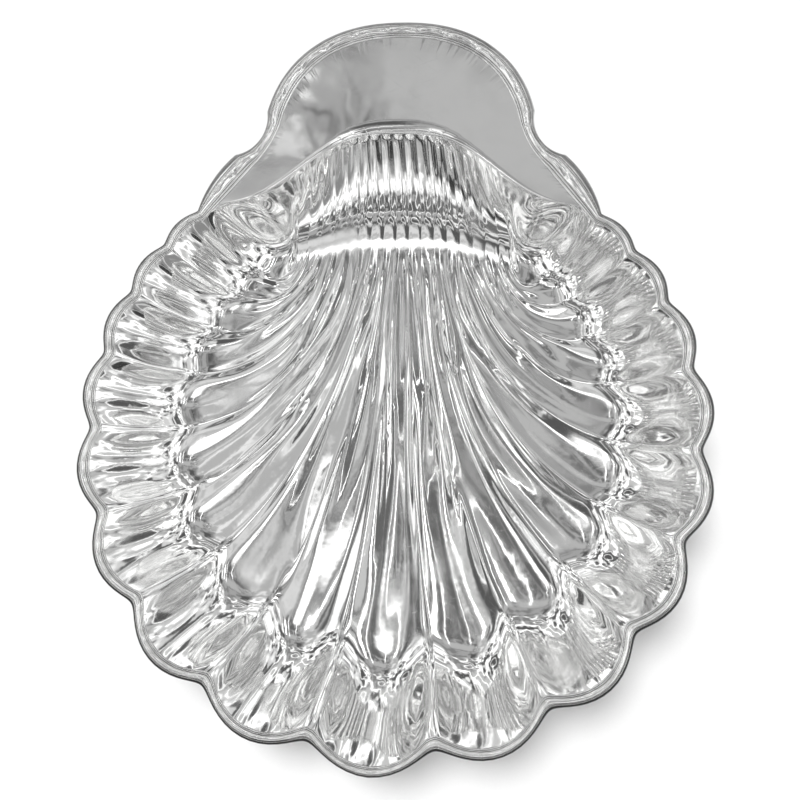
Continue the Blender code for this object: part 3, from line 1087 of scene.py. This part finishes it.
@dataclass
class BorderMoulding:
    """The applied border: a broad bead between fine threads, with a round wire along its outer edge."""

    steps: ShellSteps
    finish: SilverFinish
    sink: float = 0.30 * MM
    roll_drop: float = 1.50 * MM
    roll_in: float = 0.07
    first_share: float = 0.02
    roll: tuple = ((0.0, 0.5), (0.4, 1.0), (1.2, 1.0))
    roll_end: float = 1.6
    segment: float = 14.0 * MM
    pinch: float = 0.55
    pinch_power: float = 0.5
    pinch_start: float = 5.0 * MM
    pinch_run: float = 4.0 * MM
    # Darkening of the section: the valleys at each thread's ends are tarnish and painted shade, and the
    # wire's outer flank gets painted shade standing for the shadowed floor, made darker towards the
    # front.
    groove_width: float = 3.0
    flank_level: float = 2.0
    flank_edge: tuple = (7.0, 1.5)
    tarnish_and_shade_limits: tuple = (0.6, 2.0)
    front_middle: float = 0.55
    front_run: float = 200.0 * MM
    sharp: float = 60.0
    reeds: tuple = (
        Reed(0.00, 0.13, 0.10 * MM, 0.60 * MM, 6),
        Reed(0.13, 0.23, 0.50 * MM, 0.35 * MM, 5),
        Reed(0.23, 0.65, 0.40 * MM, 2.00 * MM, 16, True),
        Reed(0.65, 0.71, 0.45 * MM, 0.35 * MM, 5),
        Reed(0.71, 1.00, -0.20 * MM, 1.45 * MM, 14, False, True),
    )

    def section(self) -> list:
        """(share of the width, height over the rim, darkening by tarnish and painted shade, segmented)
        of each corner, in order.
        """
        # The inner edge and the roll's underside are darkened fully to the dull colour: tarnish and
        # painted shade where the border meets the sheet and under its edge.
        corners = [(self.first_share, -self.sink, 1.0, False)]
        for reed in self.reeds:
            for i in range(reed.steps + 1):
                turn = math.pi * i / reed.steps
                along = (1 - math.cos(turn)) / 2
                # Painted shade on the wire's outer flank (values from 1 to 2), and darkened valleys at
                # each thread's ends as tarnish and painted shade.
                slope, start = self.flank_edge
                shade = self.flank_level * share_of(slope * along - start)
                flank = shade if reed.shaded_flank else 0.0
                tarnish_and_painted_shade = max(0.0, 1 - self.groove_width * math.sin(turn), flank)
                height = reed.foot + reed.height * math.sin(turn)
                corners.append((blend(reed.start, reed.end, along), height, tarnish_and_painted_shade, reed.segmented))
        for inset, drop in self.roll:
            corners.append((1.0 - inset * self.roll_in, -drop * self.roll_drop, 1.0, False))
        corners.append((1.0 - self.roll_end * self.roll_in, -self.sink, 1.0, False))
        return corners

    def swells(self, ring: list) -> list:
        """How full the bead is at each station.

        Args:
            ring: (inner, outer) plan points right round the dish.

        Returns:
            1 on the bowl, less where the bead is pinched at even spaces round the handle.
        """
        handle_start = self.steps.form.shelf_foot_y + self.pinch_start
        swells, travelled = [], 0.0
        for i, (inner, outer) in enumerate(ring):
            travelled += (outer - ring[i - 1][1]).length if i else 0.0
            wave = abs(math.sin(math.pi * travelled / self.segment)) ** self.pinch_power
            share = share_of((outer.y - handle_start) / self.pinch_run)
            swells.append(blend(1.0, 1 - self.pinch * (1 - wave), share))
        return swells

    def frontness(self, outer: Vector) -> float:
        """0 beside the handle, where the painted shade is capped lowest, to 1 along the front, where the
        painted shade on the wire's flank and in the valleys is darkest.
        """
        return share_of(self.front_middle - outer.y / self.front_run)

    def build(self) -> bpy.types.Object:
        """Model the border.

        Returns:
            The finished piece.
        """
        form, ring, section = self.steps.form, self.steps.round_stations(), self.section()
        swells = self.swells(ring)
        bm = bmesh.new()
        tarnish_and_painted_shade_layer = bm.verts.layers.float.new(self.finish.tarnish_and_painted_shade)

        def corner(i: int, j: int) -> Vector:
            """Place of one corner of the border's skin."""
            inner, outer = ring[i % len(ring)]
            share, height, _, segmented = section[j % len(section)]
            swell = swells[i % len(ring)] if segmented else 1.0
            return form.at_rim(inner.lerp(outer, share), height * swell)

        grid = add_grid(bm, len(ring), len(section), corner)
        # The darkening is capped by side: the painted shade is lightest beside the handle and darkest
        # along the front, where the shadow falls.
        for vertex, (i, j) in grid.items():
            dark = section[j % len(section)][2]
            limit = blend(*self.tarnish_and_shade_limits, self.frontness(ring[i % len(ring)][1]))
            vertex[tarnish_and_painted_shade_layer] = min(dark, limit)
        bmesh.ops.remove_doubles(bm, verts=bm.verts, dist=WELD)
        bmesh.ops.recalc_face_normals(bm, faces=bm.faces)
        piece = finished("reeded_border", bm, self.finish.make(), self.sharp)
        settle(piece, Slot.BORDER, "border_moulding")
        return piece


@dataclass
class BallFoot:
    """A turned ball foot with a collar and a solder pad, filed flat where it stands."""

    node: str
    flat_radius: float = 2.6 * MM
    neck_radius: float = 2.2 * MM
    collar_radius: float = 3.0 * MM
    pad_radius: float = 5.2 * MM
    pad_rise: float = 0.75 * MM
    collar: tuple = (0.15, 0.35)
    cove_top: float = 0.50
    sharp: float = 40.0
    sides: int = 48
    arc_steps: int = 18

    def profile(self, radius: float, top: float) -> list:
        """(radius, height) corners of the turned outline.

        Args:
            radius: The ball's radius.
            top: Height of the sheet's underside over the foot.

        Returns:
            The corners from the standing face up to the pad.
        """
        centre = math.sqrt(radius**2 - self.flat_radius**2)
        low = math.asin(-centre / radius)
        high = math.acos(self.neck_radius / radius)
        corners = [(0.0, 0.0)]
        for i in range(self.arc_steps + 1):
            angle = blend(low, high, i / self.arc_steps)
            corners.append((radius * math.cos(angle), centre + radius * math.sin(angle)))
        neck = centre + radius * math.sin(high)
        space = top - neck
        corners += [(self.collar_radius, neck + share * space) for share in self.collar]
        corners.append((self.neck_radius, neck + self.cove_top * space))
        corners.append((self.pad_radius, top))
        corners.append((self.pad_radius, top + self.pad_rise))
        corners.append((0.0, top + self.pad_rise))
        return corners

    def build(self, material: bpy.types.Material) -> bpy.types.Object:
        """Model the foot.

        Args:
            material: The feet's shared finish.

        Returns:
            The finished piece.
        """
        low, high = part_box(self.node)
        centre = (low + high) / 2
        outline = self.profile((high.x - low.x) / 2, high.z)
        bm = bmesh.new()
        verts = [bm.verts.new((x, 0.0, z)) for x, z in outline]
        edges = [bm.edges.new(pair) for pair in zip(verts, verts[1:])]
        bmesh.ops.spin(
            bm,
            geom=verts + edges,
            axis=(0.0, 0.0, 1.0),
            cent=(0.0, 0.0, 0.0),
            angle=2 * math.pi,
            steps=self.sides,
            use_merge=True,
        )
        bmesh.ops.remove_doubles(bm, verts=bm.verts, dist=WELD)
        bmesh.ops.recalc_face_normals(bm, faces=bm.faces)
        bmesh.ops.translate(bm, verts=bm.verts, vec=(centre.x, centre.y, 0.0))
        piece = finished(self.node + "_turned", bm, material, self.sharp)
        settle(piece, Slot.FEET, self.node)
        return piece


# ---------------------------------------------------------------- the studio


@dataclass(frozen=True)
class CeilingPanel:
    """A bright or dark patch of the ceiling, in units of its height above the dish."""

    centre: tuple
    half: tuple
    edge: tuple
    level: float
    mottle: float = 0.0

    def inside(self, across: Signal, along: Signal) -> Signal:
        """1 inside the panel, 0 outside it, smooth over its edge."""
        inside = 1.0
        for spot, centre, half, edge in zip((across, along), self.centre, self.half, self.edge):
            inside = inside * (1.0 - (abs(spot - centre) - half).step(-edge, edge))
        return inside

    def lay(self, across: Signal, along: Signal, level: Signal, mottle: Signal | float) -> Signal:
        """Lay the panel over the ceiling.

        Args:
            across: x on the ceiling.
            along: y on the ceiling.
            level: Brightness so far.
            mottle: 0 where a mottled panel keeps its full brightness, 1 where it loses most.

        Returns:
            Brightness with the panel in place.
        """
        shown = self.level * (1.0 - self.mottle * mottle) if self.mottle else self.level
        return level + self.inside(across, along) * (shown - level)


@dataclass(frozen=True)
class Drapes:
    """Folded cloth beside the overhead opening, with bright gaps in it."""

    centre: tuple = (-0.225, 0.23)
    half: tuple = (0.065, 0.06)
    edge: tuple = (0.004, 0.02)
    fan_point: tuple = (-0.18, 0.31)
    nearest: float = 0.01
    folds: float = 5.0
    dark: float = 0.10
    sheen: tuple = (0.40, 0.50)
    sheen_gain: float = 0.32
    ridge: tuple = (0.58, 0.63)
    ridge_gain: float = 0.8
    gaps: tuple = (
        CeilingPanel((-0.228, 0.196), (0.009, 0.010), (0.005, 0.005), 1.1),
        CeilingPanel((-0.250, 0.243), (0.014, 0.006), (0.006, 0.005), 0.85),
        CeilingPanel((-0.192, 0.205), (0.004, 0.030), (0.003, 0.010), 0.55),
    )

    def hang(self, bench: NodeBench, across: Signal, along: Signal, level: Signal) -> Signal:
        """Hang the cloth.

        Args:
            bench: The world's nodes.
            across: x on the ceiling.
            along: y on the ceiling.
            level: Brightness so far.

        Returns:
            Brightness with the folds in place.
        """
        fan = (across - self.fan_point[0]) / (self.fan_point[1] - along).most(self.nearest)
        inputs = {"X": fan * self.folds, "Y": along * self.folds}
        folds = bench.noise(bench.add("ShaderNodeCombineXYZ", {}, inputs), 1.0, 2.0, 0.5)
        cloth = self.dark + folds.step(*self.sheen) * self.sheen_gain
        cloth = cloth + folds.step(*self.ridge) * self.ridge_gain
        whole = CeilingPanel(self.centre, self.half, self.edge, 0.0)
        level = level + whole.inside(across, along) * (cloth - level)
        for gap in self.gaps:
            level = gap.lay(across, along, level, 0.0)
        return level


@dataclass
class Studio:
    """A plain pale floor under soft light, and the camera over the dish."""

    floor_size: float = 12.0
    lens: float = 45.0
    eye: tuple = (58.3 * MM, -44.8 * MM, 443.6 * MM)
    tilt: tuple = (5.83, 7.47, 1.82)
    surround: float = 0.62
    backdrop: float = 0.95
    sun_side: tuple = (-0.10, 0.33, 1.0)
    sun_angle: float = math.radians(22.0)
    sun_power: float = 2.75
    lowest: float = 0.02
    sway: float = 0.06
    sway_cells: tuple = (8.0, 10.0)
    mottle: NoisePatch = NoisePatch(11.0, 2.0, 0.5, 0.44, 0.58)
    ceiling_dark: float = 0.10
    cloud: NoisePatch = NoisePatch(2.6, 3.0, 0.55, 0.42, 0.54)
    cloud_gain: float = 0.50
    fold: NoisePatch = NoisePatch(5.0, 2.0, 0.5, 0.51, 0.57)
    fold_gain: float = 0.60
    overhead_centre: tuple = (0.05, 0.10)
    overhead_edge: tuple = (0.24, 0.36)
    overhead_dark: float = 0.15
    haze: NoisePatch = NoisePatch(18.0, 2.0, 0.5, 0.40, 0.60)
    haze_gain: float = 0.28
    cord_cells: float = 2.6
    cord_waves: float = 44.0
    cord_edge: tuple = (0.72, 0.96)
    cord_start: tuple = (0.50, 0.75)
    cord_gain: float = 0.85
    front_spread: float = 0.5
    front_edge: tuple = (0.1, 0.5)
    skyline: tuple = (0.0, 0.03, 0.17, 0.24)
    skyline_shade: float = 0.55
    glow: tuple = (0.22, 0.27, 0.33, 0.39)
    glow_level: float = 1.3
    glow_mottle: float = 0.55
    ground_edge: tuple = (-0.02, 0.03)
    panels: tuple = (
        CeilingPanel((-0.85, -1.40), (0.80, 0.80), (0.08, 0.08), 0.17),
        CeilingPanel((0.02, 1.20), (0.36, 0.95), (0.05, 0.05), 0.40, 0.40),
        CeilingPanel((-0.58, 1.10), (0.12, 0.60), (0.04, 0.06), 1.3, 0.8),
        CeilingPanel((0.64, 1.00), (0.14, 0.60), (0.04, 0.06), 1.3, 0.8),
        CeilingPanel((-0.34, 0.08), (0.09, 0.22), (0.05, 0.05), 0.72, 0.35),
        CeilingPanel((-0.45, 0.31), (0.12, 0.18), (0.04, 0.05), 0.90, 0.45),
        CeilingPanel((0.04, 0.240), (0.20, 0.070), (0.012, 0.03), 0.50),
        CeilingPanel((0.02, -1.15), (0.50, 0.85), (0.06, 0.04), 0.42, 0.75),
        CeilingPanel((0.03, -0.30), (0.26, 0.14), (0.08, 0.05), 0.75, 0.3),
        CeilingPanel((-0.12, -0.088), (0.10, 0.042), (0.03, 0.030), 1.7),
        CeilingPanel((0.03, 0.0), (0.07, 0.05), (0.02, 0.02), 0.14),
        CeilingPanel((-0.115, 0.015), (0.006, 0.11), (0.005, 0.03), 2.6),
        CeilingPanel((0.145, 0.07), (0.007, 0.17), (0.005, 0.03), 2.6),
        CeilingPanel((0.27, 0.06), (0.022, 0.15), (0.008, 0.03), 3.5),
        CeilingPanel((0.34, 0.02), (0.015, 0.15), (0.01, 0.03), 0.10),
        CeilingPanel((0.44, 0.10), (0.020, 0.10), (0.01, 0.03), 2.0),
        CeilingPanel((-0.31, -0.05), (0.012, 0.08), (0.008, 0.03), 3.5),
        CeilingPanel((-0.40, -0.02), (0.02, 0.07), (0.01, 0.03), 0.15),
        CeilingPanel((-0.27, -0.47), (0.08, 0.33), (0.02, 0.03), 0.10),
        CeilingPanel((-0.20, 0.54), (0.07, 0.11), (0.02, 0.03), 0.10),
        CeilingPanel((0.62, -0.35), (0.12, 0.14), (0.02, 0.03), 1.6, 0.5),
        CeilingPanel((0.90, 0.25), (0.20, 0.26), (0.04, 0.06), 1.2, 0.6),
        CeilingPanel((-1.05, -0.10), (0.15, 0.20), (0.05, 0.05), 1.2, 0.6),
        CeilingPanel((-0.20, -1.35), (0.25, 0.30), (0.05, 0.05), 0.12),
    )

    def floor(self) -> bpy.types.Object:
        """Lay the floor.

        Returns:
            The floor.
        """
        bm = bmesh.new()
        bmesh.ops.create_grid(bm, x_segments=1, y_segments=1, size=self.floor_size / 2)
        floor = finished("pale_floor", bm, PaperFinish().make(), 30.0)
        return floor

    def room(self) -> None:
        """Light the room with soft panels on a grey ceiling, behind a plain backdrop."""
        world = bpy.data.worlds.new("studio_room")
        world.use_nodes = True
        bpy.context.scene.world = world
        bench = NodeBench(world.node_tree)
        direction = bench.add("ShaderNodeTexCoord", output="Generated")
        parts = bench.node("ShaderNodeSeparateXYZ", {}, {"Vector": direction})
        x, y, z = (Signal(bench, parts.outputs[i]) for i in range(3))
        height = z.most(self.lowest)
        across, along = (
            place / height + (bench.noise(direction, cells, 2.0, 0.5) - 0.5) * self.sway
            for place, cells in zip((x, y), self.sway_cells)
        )
        mottle = self.mottle.on(bench, direction)
        level = self.ceiling_dark + self.cloud.on(bench, direction) * self.cloud_gain
        level = level + self.fold.on(bench, direction) * self.fold_gain
        middle_x, middle_y = self.overhead_centre
        off_axis = ((across - middle_x) ** 2.0 + (along - middle_y) ** 2.0) ** 0.5
        overhead = 1.0 - off_axis.step(*self.overhead_edge)
        hazy = self.overhead_dark + self.haze_gain * self.haze.on(bench, direction)
        level = level + overhead * (hazy - level)
        for panel in self.panels:
            level = panel.lay(across, along, level, mottle)
        cords = (bench.noise(direction, self.cord_cells, 1.0, 0.4) * self.cord_waves).wave()
        cords = cords.step(*self.cord_edge) * off_axis.step(*self.cord_start)
        level = Drapes().hang(bench, x / height, y / height, level + cords * self.cord_gain)
        away = (-1.0 * y - self.front_spread * abs(x)).step(*self.front_edge)
        level = level * (1.0 - self.skyline_shade * z.band(*self.skyline) * away)
        shine = self.glow_level * (1.0 - self.glow_mottle * mottle)
        level = level + z.band(*self.glow) * away * (shine - level)
        ground = z.step(*self.ground_edge)
        level = ground * level + (1.0 - ground) * self.surround
        seen = bench.add("ShaderNodeLightPath", output="Is Camera Ray")
        level = level + seen * (self.backdrop - level)
        paint = bench.add("ShaderNodeBackground", {}, {"Color": (1.0, 1.0, 1.0, 1.0), "Strength": level})
        bench.node("ShaderNodeOutputWorld", {}, {"Surface": paint})

    def lamp(self) -> None:
        """Light the floor from above with a broad soft source that shows in no reflection."""
        data = bpy.data.lights.new("broad_lamp", "SUN")
        data.angle = self.sun_angle
        data.energy = self.sun_power
        lamp = bpy.data.objects.new("broad_lamp", data)
        bpy.context.scene.collection.objects.link(lamp)
        lamp.matrix_world = Vector(self.sun_side).to_track_quat("Z", "Y").to_matrix().to_4x4()
        lamp.visible_glossy = False

    def camera(self) -> bpy.types.Object:
        """Hang the camera over the dish.

        Returns:
            The camera.
        """
        data = bpy.data.cameras.new("overhead_camera")
        data.sensor_width = 36.0
        data.lens = self.lens
        data.clip_start = 0.01
        camera = bpy.data.objects.new("overhead_camera", data)
        bpy.context.scene.collection.objects.link(camera)
        turn = Matrix.Identity(4)
        for angle, axis in zip(self.tilt, "XYZ"):
            turn = turn @ Matrix.Rotation(math.radians(angle), 4, axis)
        camera.matrix_world = Matrix.Translation(self.eye) @ turn
        bpy.context.scene.camera = camera
        return camera

    def build(self) -> None:
        """Set up the floor, the light and the camera."""
        scene = bpy.context.scene
        scene.view_settings.view_transform = "Standard"
        self.floor()
        self.room()
        self.lamp()
        self.camera()
        log.info("studio: floor, room light and camera")


def main() -> None:
    """Build the studio and every piece of the dish in order."""
    Studio().build()
    low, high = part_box("border_moulding")
    sheet_low, sheet_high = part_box("dish_body")
    form = ShellForm(half_length=high.y, rim_height=low.z - 0.3 * MM)
    DishSheet(ShellSteps(form), SilverFinish("sheet_silver", calm="calm")).build()
    border = SilverFinish(
        "border_silver",
        bright=(0.97, 0.97, 0.965),
        # The border's dull colour, used for its tarnish and painted shade.
        dull=(0.20, 0.20, 0.20),
        ripple=0.01 * MM,
        tarnish_and_painted_shade="tarnish_and_painted_shade",
    )
    BorderMoulding(ShellSteps(form, 20, 40), border).build()
    feet = SilverFinish("foot_silver", polish=0.10).make()
    for node in ("foot_front_left", "foot_front_right", "foot_back"):
        BallFoot(node).build(feet)


if __name__ == "__main__":
    main()
